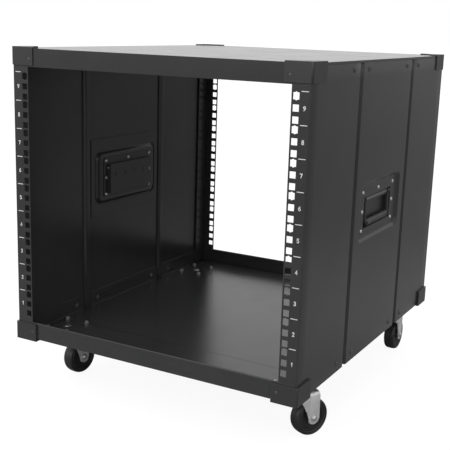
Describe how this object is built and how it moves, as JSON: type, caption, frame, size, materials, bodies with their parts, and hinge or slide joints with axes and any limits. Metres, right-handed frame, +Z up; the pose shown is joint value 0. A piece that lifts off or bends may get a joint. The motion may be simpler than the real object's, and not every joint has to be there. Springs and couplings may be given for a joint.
{
  "type": "equipment rack case",
  "caption": "Open-fronted 19-inch equipment rack case in black sheet metal, with square-hole rack rails, corner caps, recessed drop handles and swivel casters.",
  "frame": {"origin": "middle of the footprint, on the floor", "axes": "+Z up, +Y from the front rails to the back rails, +X to the right seen from the front"},
  "size_m": [0.5164, 0.6028, 0.5665],
  "materials": {
    "powder_coat": "fine satin powder coat",
    "black_hardware": "satin black",
    "grip_rubber": "matt, moulded",
    "tyre_rubber": "matt tread",
    "wheel_plastic": "matt moulded nylon",
    "zinc_steel": "zinc plated, soft sheen",
    "bright_fasteners": "bright plated"
  },
  "bodies": {
    "case": {"base_tray": "powder_coat", "top_tray": "powder_coat", "side_panel_left": "powder_coat", "side_panel_right": "powder_coat", "rail_front_left": "powder_coat", "rail_front_right": "powder_coat", "rail_back_left": "powder_coat", "rail_back_right": "powder_coat", "cap_bottom_front_left": "black_hardware", "cap_bottom_front_right": "black_hardware", "cap_bottom_back_left": "black_hardware", "cap_bottom_back_right": "black_hardware", "cap_top_front_left": "black_hardware", "cap_top_front_right": "black_hardware", "cap_top_back_left": "black_hardware", "cap_top_back_right": "black_hardware", "doubler_left": "powder_coat", "doubler_right": "powder_coat", "handle_pan_left": "black_hardware", "handle_pan_right": "black_hardware", "hinge_pin_left": "black_hardware", "hinge_pin_right": "black_hardware", "handle_rivets": "bright_fasteners", "panel_screws": "black_hardware", "cap_rivets": "black_hardware", "caster_bolts": "bright_fasteners", "caster_nuts": "bright_fasteners", "caster_plate_fl": "zinc_steel", "caster_plate_fr": "zinc_steel", "caster_plate_bl": "zinc_steel", "caster_plate_br": "zinc_steel", "kingpin_fl": "bright_fasteners", "kingpin_fr": "bright_fasteners", "kingpin_bl": "bright_fasteners", "kingpin_br": "bright_fasteners"},
    "bail_left": {"bail_left": "black_hardware", "grip_left": "grip_rubber"},
    "bail_right": {"bail_right": "black_hardware", "grip_right": "grip_rubber"},
    "fork_fl": {"fork_fl": "zinc_steel", "axle_fl": "bright_fasteners"},
    "wheel_fl": {"wheel_core_fl": "wheel_plastic", "tyre_fl": "tyre_rubber"},
    "fork_fr": {"fork_fr": "zinc_steel", "axle_fr": "bright_fasteners"},
    "wheel_fr": {"wheel_core_fr": "wheel_plastic", "tyre_fr": "tyre_rubber"},
    "fork_bl": {"fork_bl": "zinc_steel", "axle_bl": "bright_fasteners"},
    "wheel_bl": {"wheel_core_bl": "wheel_plastic", "tyre_bl": "tyre_rubber"},
    "fork_br": {"fork_br": "zinc_steel", "axle_br": "bright_fasteners"},
    "wheel_br": {"wheel_core_br": "wheel_plastic", "tyre_br": "tyre_rubber"}
  },
  "joints": [
    {"name": "handle_left_hinge", "type": "hinge", "parent": "case", "child": "bail_left", "pos_m": [-0.2469, 0, 0.3455], "axis": [0, 1, 0], "range_deg": [0, 95]},
    {"name": "handle_right_hinge", "type": "hinge", "parent": "case", "child": "bail_right", "pos_m": [0.2469, 0, 0.3455], "axis": [0, -1, 0], "range_deg": [0, 95]},
    {"name": "swivel_fl", "type": "hinge", "parent": "case", "child": "fork_fl", "pos_m": [-0.218, -0.219, 0.078], "axis": [0, 0, 1], "continuous": true},
    {"name": "wheel_fl_spin", "type": "hinge", "parent": "fork_fl", "child": "wheel_fl", "pos_m": [-0.21403, -0.19078, 0.03], "axis": [0.9903, -0.1392, 0], "continuous": true},
    {"name": "swivel_fr", "type": "hinge", "parent": "case", "child": "fork_fr", "pos_m": [0.218, -0.219, 0.078], "axis": [0, 0, 1], "continuous": true},
    {"name": "wheel_fr_spin", "type": "hinge", "parent": "fork_fr", "child": "wheel_fr", "pos_m": [0.23138, -0.19384, 0.03], "axis": [0.8829, -0.4695, 0], "continuous": true},
    {"name": "swivel_bl", "type": "hinge", "parent": "case", "child": "fork_bl", "pos_m": [-0.218, 0.212, 0.078], "axis": [0, 0, 1], "continuous": true},
    {"name": "wheel_bl_spin", "type": "hinge", "parent": "fork_bl", "child": "wheel_bl", "pos_m": [-0.22197, 0.24022, 0.03], "axis": [0.9903, 0.1392, 0], "continuous": true},
    {"name": "swivel_br", "type": "hinge", "parent": "case", "child": "fork_br", "pos_m": [0.218, 0.212, 0.078], "axis": [0, 0, 1], "continuous": true},
    {"name": "wheel_br_spin", "type": "hinge", "parent": "fork_br", "child": "wheel_br", "pos_m": [0.218, 0.2405, 0.03], "axis": [1, 0, 0], "continuous": true}
  ]
}
